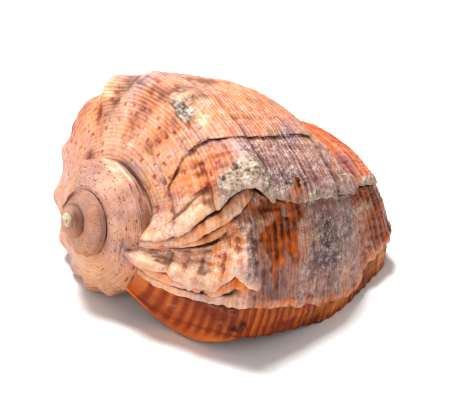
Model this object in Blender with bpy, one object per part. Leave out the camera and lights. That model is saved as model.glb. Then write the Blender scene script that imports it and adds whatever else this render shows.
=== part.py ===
"""A rapa whelk shell, resting on its aperture: one wall that coils about a slanting axis.

Metres, +Z up, apex towards -X, siphonal end towards +X, outer lip towards -Y.
A closed wall section grows and turns about the coiling axis.  "turn" counts turns
back from the lip (0 at the lip) and "along" runs from the suture (0) over the
shoulder and base to the siphonal tip (1).
"""

import math

import bmesh
import bpy
import numpy as np
from mathutils import Euler, Matrix, Vector

AXIS_LENGTH = 0.118  # apex to siphonal tip
GROWTH = 2.08  # how many times larger the section is after one turn
WALL = 0.0034  # wall thickness just inside the lip
LIP_ANGLE = 115.0  # degrees from straight up, over the front, to the lip
APEX_RAISE = 9.6  # degrees the apex end is tipped up as the shell rests
REST_ROLL = -0.6  # degrees the shell is rolled about its own axis as it rests
REST_CUT = 0.0008  # depth worn off the contact points, which makes the flat rest faces
FUSE_GRID = 0.0007  # grid on which overlapping whorls become one wall
TRIANGLES = 9000
SHELL_COLOUR = (0.62, 0.36, 0.20, 1.0)
RADIUS, AXIAL = 0, 1

# Outer face of the wall at the lip, as (radius, distance from apex) over AXIS_LENGTH.
OUTER = [
    (0.212, 0.131),
    (0.300, 0.200),
    (0.378, 0.246),
    (0.423, 0.289),
    (0.434, 0.345),
    (0.432, 0.420),
    (0.420, 0.520),
    (0.400, 0.610),
    (0.358, 0.690),
    (0.292, 0.765),
    (0.268, 0.835),
    (0.262, 0.905),
    (0.228, 0.968),
    (0.165, 1.000),
]
# Axis side of the solid columella, from the siphonal tip up towards the apex.
AXIS_SIDE = [(0.110, 0.985), (0.062, 0.900), (0.028, 0.800), (-0.020, 0.700), (-0.030, 0.600)]
# Cavity side of the columella, from the canal up to where the earlier whorl begins.
PILLAR = [(0.165, 0.930), (0.145, 0.850), (0.134, 0.760), (0.128, 0.660), (0.128, 0.560)]

# How each turn's size strays from steady growth, as (turn, natural logarithm of the ratio).
SHRINK = [
    (0.0, 0.0),
    (0.3, 0.03),
    (0.5, 0.05),
    (0.7, 0.02),
    (0.86, -0.12),
    (1.0, -0.13),
    (1.5, -0.12),
    (9.0, -0.12),
]
KNOBS = [  # (turn, along, height over AXIS_LENGTH, width in turns)
    (0.055, 0.31, 0.018, 0.020),
    (0.182, 0.31, 0.036, 0.022),
    (0.300, 0.29, 0.014, 0.026),
    (0.400, 0.29, 0.014, 0.028),
    (0.510, 0.29, 0.016, 0.028),
    (0.620, 0.29, 0.014, 0.028),
    (0.740, 0.29, 0.014, 0.028),
]
LEDGES = [(0.150, 0.020, 0.050), (0.045, 0.012, 0.030)]  # (turn, step height, run-out in turns)
# How far each growth edge runs ahead of or behind its turn, from the suture to the siphonal tip.
BEND_PLACES = [0.0, 0.14, 0.21, 0.26, 0.31, 0.37, 0.47, 1.0]
BENDS = [  # (turn, reach in turns, bend at each place)
    (0.150, 0.060, [-0.045, -0.038, -0.018, 0.008, 0.026, 0.008, 0.0, 0.008]),
    (0.045, 0.035, [0.030, 0.028, 0.018, 0.0, -0.004, 0.0, 0.0, 0.0]),
    (0.000, 0.030, [-0.085, -0.052, -0.028, -0.006, 0.012, 0.012, 0.006, 0.0]),
]
BASE_SWELL = 0.050  # how much fuller the base is at the lip
CANAL_PINCH = 0.030  # how much narrower the canal is at the lip
LIP_FLARE = 0.004  # outward flare of the last growth band
OUTER_STEPS = 19
PARIETAL_STEPS = 8
EARLIER_STEPS = 24
PARIETAL_SINK = 0.45  # share of the earlier wall that the new inner wall sinks into
CALLUS = 0.35  # thickness of the glaze on the earlier whorl, over the wall thickness
SUTURE_ALONG = 0.36  # where the next whorl meets this one
ROWS = (
    [0.0, 0.012, 0.028, 0.041, 0.050, 0.066, 0.085, 0.105, 0.125, 0.143, 0.155, 0.168, 0.185, 0.205]
    + [0.205 + 0.795 * k / 23 for k in range(1, 24)]
    + [1.0 + k / 20 for k in range(1, 21)]
    + [2.0 + 0.09 * k for k in range(1, 26)]
)
CAVITY_ROWS = (
    [0.0, 0.028, 0.066, 0.105, 0.143, 0.185, 0.23, 0.28]
    + [0.28 + 0.72 * k / 16 for k in range(1, 17)]
    + [1.0 + 0.70 * k / 12 for k in range(1, 13)]
)


def remove_all_objects():
    for obj in list(bpy.data.objects):
        bpy.data.objects.remove(obj, do_unlink=True)


def spline(points, places):
    """A smooth curve through the points, read at places 0 to 1 along its chord length."""
    knots = np.array(points, float)
    gaps = np.linalg.norm(np.diff(knots, axis=0), axis=1)
    at = np.concatenate([[0.0], np.cumsum(gaps)]) / gaps.sum()
    slopes = np.gradient(knots, at, axis=0)
    places = np.clip(np.asarray(places, float), 0.0, 1.0)
    left = np.clip(np.searchsorted(at, places, side="right") - 1, 0, len(at) - 2)
    width = (at[left + 1] - at[left])[:, None]
    t = ((places - at[left])[:, None]) / width
    start, end = knots[left], knots[left + 1]
    return (
        (2 * t**3 - 3 * t**2 + 1) * start
        + (t**3 - 2 * t**2 + t) * width * slopes[left]
        + (3 * t**2 - 2 * t**3) * end
        + (t**3 - t**2) * width * slopes[left + 1]
    )


def outer_direction(places):
    """Unit vectors that point out of the wall, square to the smooth outer face."""
    step = 0.01
    run = spline(OUTER, np.clip(places + step, 0.0, 1.0)) - spline(OUTER, np.clip(places - step, 0.0, 1.0))
    normal = np.stack([run[:, AXIAL], -run[:, RADIUS]], axis=1)
    return normal / np.linalg.norm(normal, axis=1)[:, None]


def size_at(turn):
    turns, amounts = np.array(SHRINK).T
    return AXIS_LENGTH * GROWTH**-turn * np.exp(np.interp(turn, turns, amounts))


def wall_at(turn):
    return WALL * GROWTH ** (-0.5 * turn)


def relief(turn, along, row):
    """Height of the knobs, growth ledges and lip flare over the smooth wall, in section sizes."""
    total = np.zeros_like(along)
    for place, side, height, width in KNOBS:
        total += height * np.exp(-(((turn - place) / width) ** 2) - ((along - side) / 0.075) ** 2)
    fade = np.clip(along / 0.10, 0.0, 1.0) * np.clip((1.0 - along) / 0.25, 0.0, 1.0)
    for place, height, run_out in LEDGES:
        if row > place:
            total += height * fade * math.exp((place - row) / run_out)
    recent = math.exp(-row / 0.10)
    total += BASE_SWELL * recent * np.exp(-(((along - 0.74) / 0.13) ** 2))
    total -= CANAL_PINCH * recent * np.clip((along - 0.84) / 0.10, 0.0, 1.0)
    return total + LIP_FLARE * fade * math.exp(-row / 0.016)


def bend_at(row, along):
    """Turns by which a growth edge runs ahead of its own turn at each place along the section."""
    total = np.zeros_like(along)
    for place, reach, bends in BENDS:
        total += np.interp(along, BEND_PLACES, bends) * math.exp(-(((row - place) / reach) ** 2))
    return total


def outer_face(turn, along, row):
    """Outer face of the wall in the section plane, metres from the axis and from the apex."""
    size = size_at(turn)[:, None]
    height = relief(turn, along, row)[:, None]
    return size * (spline(OUTER, along) + outer_direction(along) * height)


def section(row):
    """Outer loop and cavity loop of the wall for one row, each with its points' own turns."""
    along = np.linspace(0.0, 1.0, OUTER_STEPS) ** 0.92
    turn = row + bend_at(row, along)
    face = outer_face(turn, along, row)

    # The wall against the earlier whorl, from that whorl's siphonal tip up to the suture.
    earlier_along = np.linspace(1.0, SUTURE_ALONG, EARLIER_STEPS)
    near_suture = np.clip((0.5 - earlier_along) / (0.5 - SUTURE_ALONG), 0.0, 1.0)
    meeting = row + (turn[0] - row) * near_suture
    earlier = outer_face(meeting + 1.0, earlier_along, row + 1.0)
    outward = outer_direction(earlier_along)
    sunk = earlier - outward * (PARIETAL_SINK * wall_at(meeting + 1.0))[:, None]
    glazed = earlier + outward * (CALLUS * wall_at(meeting))[:, None]

    seat = np.clip(1.0 - along / 0.12, 0.0, 1.0)[:, None] ** 2
    outer_wall = face + (sunk[-1] - face[0]) * seat
    size = size_at(np.array([row]))[0]
    picks = np.linspace(0, EARLIER_STEPS - 2, PARIETAL_STEPS).astype(int)
    axis_side = np.array(AXIS_SIDE) * size
    outer_loop = np.concatenate([outer_wall, axis_side, sunk[picks]])
    outer_turns = np.concatenate([turn, np.full(len(axis_side), row), meeting[picks]])

    inner_wall = (outer_wall - outer_direction(along) * wall_at(turn)[:, None])[2:-1]
    pillar = np.array(PILLAR) * size
    clear = np.linalg.norm(sunk - sunk[-1], axis=1) > 1.35 * wall_at(row)
    last = np.flatnonzero(clear)[-1]
    picks = np.linspace(EARLIER_STEPS // 3, last, PARIETAL_STEPS + 1).astype(int)
    cavity_loop = np.concatenate([inner_wall, pillar, glazed[picks]])
    cavity_turns = np.concatenate([turn[2:-1], np.full(len(pillar), row), meeting[picks]])
    return outer_loop, outer_turns, cavity_loop, cavity_turns


def place_on_coil(points, turns):
    """Section points turned about the coiling axis: X axial, Y to the back, Z up."""
    angle = math.radians(LIP_ANGLE) - 2.0 * math.pi * turns
    radius, axial = points[:, RADIUS], points[:, AXIAL]
    return np.stack([axial, -radius * np.sin(angle), radius * np.cos(angle)], axis=1)


def add_ring(mesh, points):
    return [mesh.verts.new(point) for point in points]


def bridge(mesh, first, second, flip):
    count = len(first)
    for k in range(count):
        quad = [first[k], first[(k + 1) % count], second[(k + 1) % count], second[k]]
        mesh.faces.new(quad[::-1] if flip else quad)


def rim(mesh, outer, cavity):
    """The lip's edge: joins two rings of different counts, matched by their share of the way round."""
    a, b = 0, 0
    while a < len(outer) or b < len(cavity):
        take_outer = b == len(cavity) or (a < len(outer) and (a + 1) / len(outer) <= (b + 1) / len(cavity))
        here, there = outer[a % len(outer)], cavity[b % len(cavity)]
        if take_outer:
            a += 1
            mesh.faces.new([here, there, outer[a % len(outer)]])
        else:
            b += 1
            mesh.faces.new([here, there, cavity[b % len(cavity)]])


def cap(mesh, ring, flip):
    centre = mesh.verts.new(sum((vert.co for vert in ring), Vector()) / len(ring))
    for k in range(len(ring)):
        triangle = [ring[k], ring[(k + 1) % len(ring)], centre]
        mesh.faces.new(triangle[::-1] if flip else triangle)


def coil_mesh():
    """The whole wall as one closed surface that overlaps itself where whorls meet."""
    mesh = bmesh.new()
    outer_rings, cavity_rings = [], []
    for row in ROWS:
        outer_rings.append(add_ring(mesh, place_on_coil(*section(row)[:2])))
    for row in CAVITY_ROWS:
        cavity_rings.append(add_ring(mesh, place_on_coil(*section(row)[2:])))
    for first, second in zip(outer_rings, outer_rings[1:]):
        bridge(mesh, first, second, False)
    for first, second in zip(cavity_rings, cavity_rings[1:]):
        bridge(mesh, first, second, True)
    rim(mesh, outer_rings[0], cavity_rings[0])
    cap(mesh, outer_rings[-1], False)
    cap(mesh, cavity_rings[-1], True)
    bmesh.ops.recalc_face_normals(mesh, faces=mesh.faces)
    bmesh.ops.triangulate(mesh, faces=mesh.faces)
    return mesh


def make_object(name, mesh):
    data = bpy.data.meshes.new(name)
    mesh.to_mesh(data)
    mesh.free()
    obj = bpy.data.objects.new(name, data)
    bpy.context.collection.objects.link(obj)
    return obj


def box_mesh(low, high):
    mesh = bmesh.new()
    size = Matrix.Diagonal([high[k] - low[k] for k in range(3)] + [1.0])
    centre = Matrix.Translation([(high[k] + low[k]) / 2.0 for k in range(3)])
    bmesh.ops.create_cube(mesh, size=1.0, matrix=centre @ size)
    return mesh


def apply_modifiers(obj):
    graph = bpy.context.evaluated_depsgraph_get()
    data = bpy.data.meshes.new_from_object(obj.evaluated_get(graph))
    obj.modifiers.clear()
    obj.data = data


def fuse_whorls(obj):
    """Makes the overlapping whorls one wall, then thins the mesh to what the shape needs."""
    fuse = obj.modifiers.new("fuse", "REMESH")
    fuse.mode = "VOXEL"
    fuse.voxel_size = FUSE_GRID
    apply_modifiers(obj)
    keep_largest_body(obj)
    full = sum(len(face.vertices) - 2 for face in obj.data.polygons)
    thin = obj.modifiers.new("thin", "DECIMATE")
    thin.ratio = TRIANGLES / full
    apply_modifiers(obj)


def keep_largest_body(obj):
    mesh = bmesh.new()
    mesh.from_mesh(obj.data)
    left = set(mesh.faces)
    bodies = []
    while left:
        start = left.pop()
        body, front = {start}, [start]
        while front:
            for edge in front.pop().edges:
                for face in edge.link_faces:
                    if face in left:
                        left.remove(face)
                        body.add(face)
                        front.append(face)
        bodies.append(body)
    largest = max(bodies, key=len)
    loose = [face for face in mesh.faces if face not in largest]
    bmesh.ops.delete(mesh, geom=loose, context="FACES")
    mesh.to_mesh(obj.data)
    mesh.free()


def cut_away(obj, other):
    cut = obj.modifiers.new("cut", "BOOLEAN")
    cut.solver = "EXACT"
    cut.operation = "DIFFERENCE"
    cut.object = other
    apply_modifiers(obj)
    bpy.data.objects.remove(other, do_unlink=True)


def shell_finish(obj):
    material = bpy.data.materials.new("shell_wall")
    material.use_nodes = True
    bsdf = material.node_tree.nodes["Principled BSDF"]
    bsdf.inputs["Base Color"].default_value = SHELL_COLOUR
    bsdf.inputs["Roughness"].default_value = 0.55
    obj.data.materials.clear()
    obj.data.materials.append(material)


def lay_down(obj):
    """Tips the shell to how it rests, wears its contact points flat and centres it on the origin."""
    tipped = Euler((math.radians(REST_ROLL), math.radians(APEX_RAISE), 0.0), "XYZ").to_matrix().to_4x4()
    obj.data.transform(tipped)
    lowered = Matrix.Translation((0.0, 0.0, -min(vert.co.z for vert in obj.data.vertices) - REST_CUT))
    obj.data.transform(lowered)
    cut_away(obj, make_object("table", box_mesh((-0.1, -0.2, -0.05), (0.3, 0.2, 0.0))))
    corners = np.array([vert.co for vert in obj.data.vertices])
    middle = (corners.min(axis=0) + corners.max(axis=0)) / 2.0
    centred = Matrix.Translation((-middle[0], -middle[1], 0.0))
    obj.data.transform(centred)
    return centred @ lowered @ tipped


def main():
    remove_all_objects()
    shell = make_object("shell", coil_mesh())
    fuse_whorls(shell)
    placed = lay_down(shell)
    shell_finish(shell)
    return placed


PLACED = main()
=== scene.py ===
import math

import bpy
import numpy as np
from mathutils import Euler, Matrix, Vector


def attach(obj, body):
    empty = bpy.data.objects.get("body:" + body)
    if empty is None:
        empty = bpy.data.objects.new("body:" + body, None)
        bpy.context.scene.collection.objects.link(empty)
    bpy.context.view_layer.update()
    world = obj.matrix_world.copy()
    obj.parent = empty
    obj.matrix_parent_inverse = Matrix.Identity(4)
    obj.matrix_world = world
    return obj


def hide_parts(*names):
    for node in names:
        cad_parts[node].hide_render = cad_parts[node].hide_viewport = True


# A rapa whelk shell lying on its aperture.
# Every point of the wall is first laid out on a flat chart: x is how many turns back from the
# lip it grew, y is its place along the wall's section, z is how far it stands off the wall.
# The Geometry Nodes tree then coils the chart up into the shell.

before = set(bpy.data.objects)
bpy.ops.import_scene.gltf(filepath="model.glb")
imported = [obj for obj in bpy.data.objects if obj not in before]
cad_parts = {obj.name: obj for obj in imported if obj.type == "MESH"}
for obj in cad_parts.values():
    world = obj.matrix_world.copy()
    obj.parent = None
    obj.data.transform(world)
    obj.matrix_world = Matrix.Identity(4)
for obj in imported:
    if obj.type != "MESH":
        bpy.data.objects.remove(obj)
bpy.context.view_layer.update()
print("frame loaded")


def addNode(tree, kind, *feeds, **settings):
    node = tree.nodes.new(kind)
    for name, value in settings.items():
        setattr(node, name, value)
    wanted = {}
    for place, feed in enumerate(feeds):
        wanted.update(feed if isinstance(feed, dict) else {place: feed})
    for key, feed in wanted.items():
        if isinstance(feed, bpy.types.Node):
            feed = next(out for out in feed.outputs if out.enabled)
        if isinstance(feed, bpy.types.NodeSocket):
            tree.links.new(feed, node.inputs[key])
        elif feed is not None:
            node.inputs[key].default_value = feed
    return node


def linearColour(hexCode):
    parts = [int(hexCode[k:k + 2], 16) / 255.0 for k in (1, 3, 5)]
    return tuple(c / 12.92 if c <= 0.04045 else ((c + 0.055) / 1.055) ** 2.4 for c in parts) + (1.0,)


studio = {
    "cameraPlace": (-0.2873, -0.3419, 0.2789),
    "cameraTurn": (60.08, -5.124, -35.976),  # degrees
    "lens": 134.24,
    "shift": (0.0432, 0.0034),
    "keyPlace": (-0.10, 0.20, 0.78),
    "keySize": 0.30,
    "keyPower": 7.9,
    "fillPlace": (-0.55, -0.45, 0.35),
    "fillSize": 0.5,
    "fillPower": 1.3,
    "skyColour": "#FFFFFF",
    "skyStrength": 0.33,
    "floorSize": 6.0,
    "paperColour": "#F7F7F7",
    "paperRoughness": 0.9,
}


def setUpCamera():
    lens = bpy.data.cameras.new("camera")
    lens.lens = studio["lens"]
    lens.shift_x, lens.shift_y = studio["shift"]
    camera = bpy.data.objects.new("camera", lens)
    camera.location = studio["cameraPlace"]
    camera.rotation_euler = [math.radians(angle) for angle in studio["cameraTurn"]]
    bpy.context.collection.objects.link(camera)
    bpy.context.scene.camera = camera


def setUpSoftbox(name, place, size, power):
    light = bpy.data.lights.new(name, "AREA")
    light.shape = "DISK"
    light.size = size
    light.energy = power
    lamp = bpy.data.objects.new(name, light)
    lamp.location = place
    lamp.rotation_euler = Vector(place).to_track_quat("Z", "Y").to_euler()
    bpy.context.collection.objects.link(lamp)


def setUpSky():
    sky = bpy.data.worlds.new("white studio")
    sky.use_nodes = True
    light = sky.node_tree.nodes["Background"]
    light.inputs["Color"].default_value = linearColour(studio["skyColour"])
    light.inputs["Strength"].default_value = studio["skyStrength"]
    bpy.context.scene.world = sky


def layFloor():
    half = studio["floorSize"] / 2.0
    corners = [(-half, -half, 0.0), (half, -half, 0.0), (half, half, 0.0), (-half, half, 0.0)]
    mesh = bpy.data.meshes.new("floor")
    mesh.from_pydata(corners, [], [(0, 1, 2, 3)])
    floor = bpy.data.objects.new("floor", mesh)
    bpy.context.collection.objects.link(floor)
    # matt backdrop paper: even and without gloss, so only the soft shadow shows on it
    paper = bpy.data.materials.new("white backdrop paper")
    paper.use_nodes = True
    finish = paper.node_tree.nodes["Principled BSDF"]
    finish.inputs["Base Color"].default_value = linearColour(studio["paperColour"])
    finish.inputs["Roughness"].default_value = studio["paperRoughness"]
    mesh.materials.append(paper)


bpy.context.scene.view_settings.view_transform = "Standard"
bpy.context.scene.view_settings.look = "High Contrast"
setUpCamera()
setUpSoftbox("key softbox", studio["keyPlace"], studio["keySize"], studio["keyPower"])
setUpSoftbox("fill softbox", studio["fillPlace"], studio["fillSize"], studio["fillPower"])
setUpSky()
layFloor()
print("camera, light and floor set up")

coil = {
    "length": 0.118,  # apex to siphonal tip, metres
    "growth": 2.08,  # the section's size ratio over one turn
    "wall": 0.0034,  # wall thickness at the lip, metres
    "lipAngle": 115.0,  # degrees from straight up to the lip
    "apexRaise": 9.6,  # degrees the apex end stands up
    "restRoll": -0.6,
    "apexPlace": (-0.05706, 0.00808, 0.03022),  # where the tip of the spire sits, metres
    "sutureAlong": 0.36,  # place on the earlier whorl where the next one starts
    "sutureClimbed": 0.165,  # the same, over the newest part of the shell
    "climbTurns": (0.03, 0.16),  # turns over which it climbs
    "seatAlong": 0.15,  # how much of the section bends to sit on the earlier whorl
    "sunkShare": 0.45,  # how deep the new wall is let into the earlier one
    "glazeShare": 0.35,  # glaze on the earlier whorl inside the mouth
    "innerStart": 0.10,  # the inside face starts this far past the suture
    "innerStep": 0.07,  # and ends this far past it on the earlier whorl
    "innerBack": 0.787,  # place where the inside face passes from the pillar to the earlier whorl
    "pillarInset": 0.02,
    "weldGap": 1e-6,
}

# Outline of the wall at the lip, as (distance from the axis, distance from the apex) over the length.
lipOutline = [
    (0.212, 0.131), (0.300, 0.200), (0.378, 0.246), (0.423, 0.289), (0.434, 0.345), (0.432, 0.420),
    (0.420, 0.520), (0.400, 0.610), (0.358, 0.690), (0.292, 0.765), (0.268, 0.835), (0.262, 0.905),
    (0.228, 0.968), (0.165, 1.000),
]
axisOutline = [(0.110, 0.985), (0.062, 0.900), (0.028, 0.800), (-0.020, 0.700), (-0.030, 0.600)]
pillarOutline = [(0.165, 0.930), (0.145, 0.850), (0.134, 0.760), (0.128, 0.660), (0.128, 0.560)]
# How far the size strays from steady growth, as (turn, logarithm of the ratio).
sizeDrift = [
    (0.0, 0.0), (0.3, 0.03), (0.5, 0.05), (0.7, 0.02), (0.86, -0.12), (1.0, -0.13), (1.6, -0.12),
]
driftEnd = 1.6

ribs = {
    "cordCount": 23,  # main spiral cords round the section
    "cordHeight": 0.0018,  # over the section's size
    "cordFade": (0.10, 0.27, 0.15),  # from here to here they grow from this share to their full height
    "cordEnd": (0.99, 0.90),
    "knobSpacing": 0.067,  # turns between shoulder knobs on the older shell
    "knobStart": 0.279,
    "knobHeight": 0.024,
    "knobLength": 0.019,  # turns
    "knobAlong": 0.235,
    "knobWidth": 0.075,
    "knobTurns": (0.24, 0.27),  # they are worn away on the newer shell
}

# Edges where growth stopped for a while: the turn reached at each place along the section.
edgePlaces = [0.0, 0.07, 0.14, 0.18, 0.22, 0.26, 0.30, 0.34, 0.40, 0.50, 0.65, 0.82, 1.0]
growthEdges = {
    0.000: [-.062, -.036, -.010, .000, .008, .011, .010, .010, .010, .006, .001, -.002, .0],
    0.045: [.000, .018, .034, .042, .046, .052, .055, .052, .048, .040, .026, .054, .085],
    0.075: [.042, .056, .058, .066, .090, .072, .063, .060, .056, .052, .044, .070, .100],
    0.138: [.082, .104, .124, .134, .148, .158, .150, .145, .140, .140, .140, .146, .150],
    0.150: [.090, .116, .140, .150, .166, .178, .162, .157, .152, .154, .155, .162, .165],
    0.215: [.130, .190, .222, .226, .225, .218, .217, .217, .217, .220, .220, .220, .225],
    0.300: [.300] * 13,
}


def smooth(low, high, value):
    share = np.clip((value - low) / (high - low), 0.0, 1.0)
    return share * share * (3.0 - 2.0 * share)


def plateau(value, start, full, falling, end):
    return smooth(start, full, value) * (1.0 - smooth(falling, end, value))


def hill(value, middle, width):
    return np.exp(-(((value - middle) / width) ** 2))


def latticeNoise(x, y, seed):
    # smooth random values from -1 to 1 that change over a distance of 1
    size = 256
    lattice = np.random.default_rng(seed).uniform(-1.0, 1.0, (size, size))
    left, low = np.floor(x).astype(int), np.floor(y).astype(int)
    a, b = x - left, y - low
    a, b = a * a * (3.0 - 2.0 * a), b * b * (3.0 - 2.0 * b)
    corner = lattice[left % size, low % size] * (1 - a) * (1 - b)
    corner += lattice[(left + 1) % size, low % size] * a * (1 - b)
    corner += lattice[left % size, (low + 1) % size] * (1 - a) * b
    return corner + lattice[(left + 1) % size, (low + 1) % size] * a * b


chartSteps = {
    "cavityRows": 38,
    "cavityEnd": 1.62,
    "cavityCrowding": 1.8,  # rows lie closer together towards the lip
    "rimRows": [0.86, 0.5, 0.14],
    "edgeZone": (0.25, 0.00115),  # turns, row step
    "bodyZone": (1.0, 0.0078),
    "spireZone": (2.0, 0.016),
    "topZone": (4.4, 0.040),
    "tipZone": (8.5, 0.16),
    "outerColumns": 150,
    "shoulderCrowding": (0.25, 0.14, 0.9),  # columns lie closer together over the shoulder
    "axisColumns": 9,
    "backColumns": 28,
    "axisEnd": 1.25,
}


def chartRows():
    share = np.linspace(1.0, 0.02, chartSteps["cavityRows"])
    turns = [chartSteps["cavityEnd"] * share ** chartSteps["cavityCrowding"]]
    depths = [np.ones(len(share))]
    turns.append(np.zeros(len(chartSteps["rimRows"])))
    depths.append(np.array(chartSteps["rimRows"]))
    start = 0.0
    for zone in ["edgeZone", "bodyZone", "spireZone", "topZone", "tipZone"]:
        end, step = chartSteps[zone]
        steps = int(round((end - start) / step))
        turns.append(start + (end - start) * np.arange(steps) / steps)
        depths.append(np.zeros(steps))
        start = end
    return np.concatenate(turns), np.concatenate(depths)


def chartColumns():
    even = np.linspace(0.0, 1.0, 2001)
    middle, width, extra = chartSteps["shoulderCrowding"]
    density = 1.0 + extra * hill(even, middle, width)
    reach = np.cumsum(density) / density.sum()
    outer = np.interp(np.linspace(reach[0], 1.0, chartSteps["outerColumns"]), reach, even)
    axisEnd = chartSteps["axisEnd"]
    axis = np.linspace(1.0, axisEnd, chartSteps["axisColumns"] + 2)[1:-1]
    back = np.linspace(axisEnd, 2.0, chartSteps["backColumns"] + 1)[:-1] + 1e-4
    return np.concatenate([outer, axis, back])


def growthTurn(row, place):
    keys = np.array(sorted(growthEdges))
    lines = np.array([np.interp(place, edgePlaces, growthEdges[key]) for key in keys])
    index = np.clip(np.searchsorted(keys, row, side="right") - 1, 0, len(keys) - 2)
    share = np.clip((row - keys[index]) / (keys[index + 1] - keys[index]), 0.0, 1.0)
    low = np.take_along_axis(lines, index[None], 0)[0]
    high = np.take_along_axis(lines, index[None] + 1, 0)[0]
    return np.where(row >= keys[-1], row, low + (high - low) * share)


# Every fold is an old lip edge that overhangs the newer wall: the row it follows, its height and
# overhang in section sizes and turns, how far back it fades, and the places it runs between.
folds = [
    {
        "row": 0.045, "height": 0.012, "over": 0.0030, "fade": 0.020, "span": (0.00, 0.97), "seed": 3,
        "pale": 0.2,  # its crest is hardly worn
    },
    {"row": 0.060, "height": 0.014, "over": 0.0045, "fade": 0.010, "span": (0.00, 0.25), "seed": 8},
    {"row": 0.075, "height": 0.029, "over": 0.0085, "fade": 0.018, "span": (0.00, 0.29), "seed": 4},
    {"row": 0.122, "height": 0.010, "over": 0.0025, "fade": 0.008, "span": (0.00, 0.22), "seed": 10},
    {"row": 0.136, "height": 0.019, "over": 0.0075, "fade": 0.010, "span": (0.00, 0.28), "seed": 5},
    {
        "row": 0.150, "height": 0.024, "over": 0.0068, "fade": 0.045, "span": (0.00, 0.90), "seed": 6,
        "arch": 0.275,  # it arches up at this place, over a hollow
    },
    {"row": 0.172, "height": 0.004, "over": 0.0015, "fade": 0.010, "span": (0.03, 0.21), "seed": 11},
    {"row": 0.215, "height": 0.0042, "over": 0.0014, "fade": 0.020, "span": (0.03, 0.60), "seed": 7},
]
foldShape = {
    "half": 0.0058,  # half of the wall that one fold takes up, turns
    "steps": [0.0, 0.16, 0.34, 0.50, 0.64, 0.80, 1.0],  # shares of that wall, for the three lists below
    "ends": [-1.0, -0.35, 0.0, 0.0, 0.0, 0.0, 1.0],  # slide along the shell, over "half"
    "leans": [0.0, 0.0, 0.30, -0.2, -1.0, -0.8, 0.0],  # slide along the shell, over the overhang
    "lifts": [0.0, 0.0, 0.06, 0.38, 0.62, 0.98, 1.0],  # rise, over the fold's height
    "ragged": [(34.0, 0.35), (90.0, 0.25)],  # how many waves along the edge, and how strong
    "archHeight": 0.9,  # over the fold's height
    "archWidth": 0.035,
    "bold": 0.012,  # a fold of this height has its full shade and crest
    "face": (0.18, 0.30, 0.62, 0.74),  # shares of the fold that are its steep face
    "crest": (0.66, 0.74, 0.76, 0.98),
}


def foldWall(row, turn, place, height):
    slide, lift, shade, crest, face = [np.zeros_like(turn) for _ in range(5)]
    half, steps = foldShape["half"], foldShape["steps"]
    for fold in folds:
        start, end = fold["span"]
        strength = plateau(place, start - 0.03, start + 0.04, end - 0.05, end)
        ragged = 1.0
        for k, (waves, amount) in enumerate(foldShape["ragged"]):
            noise = latticeNoise(place * waves, np.zeros_like(place), fold["seed"] + 20 * k)
            ragged = ragged + amount * noise
        if "arch" in fold:
            arch = foldShape["archHeight"] * hill(place, fold["arch"], foldShape["archWidth"])
            ragged = ragged * (1.0 + arch)
        tall = fold["height"] * strength * ragged
        over = fold["over"] * strength * (ragged + 0.3)
        share = (row - fold["row"] + half) / (2.0 * half)
        inside = (share > 0.0) & (share < 1.0)
        plain = (share - 0.5) * 2.0 * half
        ends = np.interp(share, steps, foldShape["ends"]) * half
        leaning = np.interp(share, steps, foldShape["leans"]) * over
        slide += np.where(inside, (ends + leaning - plain) * np.clip(strength * 4.0, 0.0, 1.0), 0.0)
        older = tall * np.exp(-np.maximum(row - fold["row"] - half, 0.0) / fold["fade"])
        rising = np.interp(share, steps, foldShape["lifts"]) * tall
        lift += np.where(inside, rising, np.where(share >= 1.0, older, 0.0))
        bold = np.clip(tall / foldShape["bold"], 0.0, 1.0)
        # painted shade: a dark band on the newer wall just in front of each fold, under its overhang
        shadeStrength = np.clip(strength * (0.45 + 0.55 * bold), 0.0, 1.0)
        shade = np.maximum(shade, shadeStrength * hill(share, 0.08, 0.07 + 0.23 * bold))
        # the steep face under each crest is painted a darker orange-brown: the shell's orange there, darkened
        # as painted shade
        face = np.maximum(face, bold * plateau(share, *foldShape["face"]))
        crest = np.maximum(crest, fold.get("pale", 1.0) * bold * plateau(share, *foldShape["crest"]))
    return turn + slide, height + lift, shade, crest, face


# Single lumps and hollows: turn, place, height, length in turns, width along the section.
lumps = [
    (0.182, 0.255, 0.030, 0.016, 0.036),  # the big shoulder knob behind the main ledge
    (0.093, 0.230, 0.018, 0.012, 0.026),
    (0.112, 0.240, 0.013, 0.032, 0.013),  # the shoulder ridge between them
    (0.142, 0.305, -0.012, 0.008, 0.030),  # the hollow under the arch
    (0.413, 0.215, 0.012, 0.007, 0.060),  # worn ribs on the older shoulder
    (0.430, 0.150, -0.012, 0.012, 0.040),
    (0.390, 0.165, -0.006, 0.010, 0.050),
    (0.256, 0.245, 0.007, 0.006, 0.030),
    (0.347, 0.231, 0.008, 0.010, 0.030),
    (0.280, 0.226, 0.009, 0.014, 0.022),
    (0.230, 0.745, -0.012, 0.080, 0.016),  # the crease beside the siphonal flare
    (0.230, 0.820, 0.008, 0.080, 0.030),
    (0.507, 0.215, 0.014, 0.014, 0.030),  # crags on the older knobs
    (0.620, 0.225, 0.012, 0.016, 0.024),
    (0.690, 0.235, 0.010, 0.012, 0.030),
    (0.800, 0.225, 0.012, 0.014, 0.026),
    (2.480, 0.180, -0.050, 0.070, 0.070),  # the broken hollow beside the tip
    (1.240, 0.222, 0.008, 0.010, 0.030),
    (1.350, 0.285, -0.008, 0.010, 0.020),
]
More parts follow.
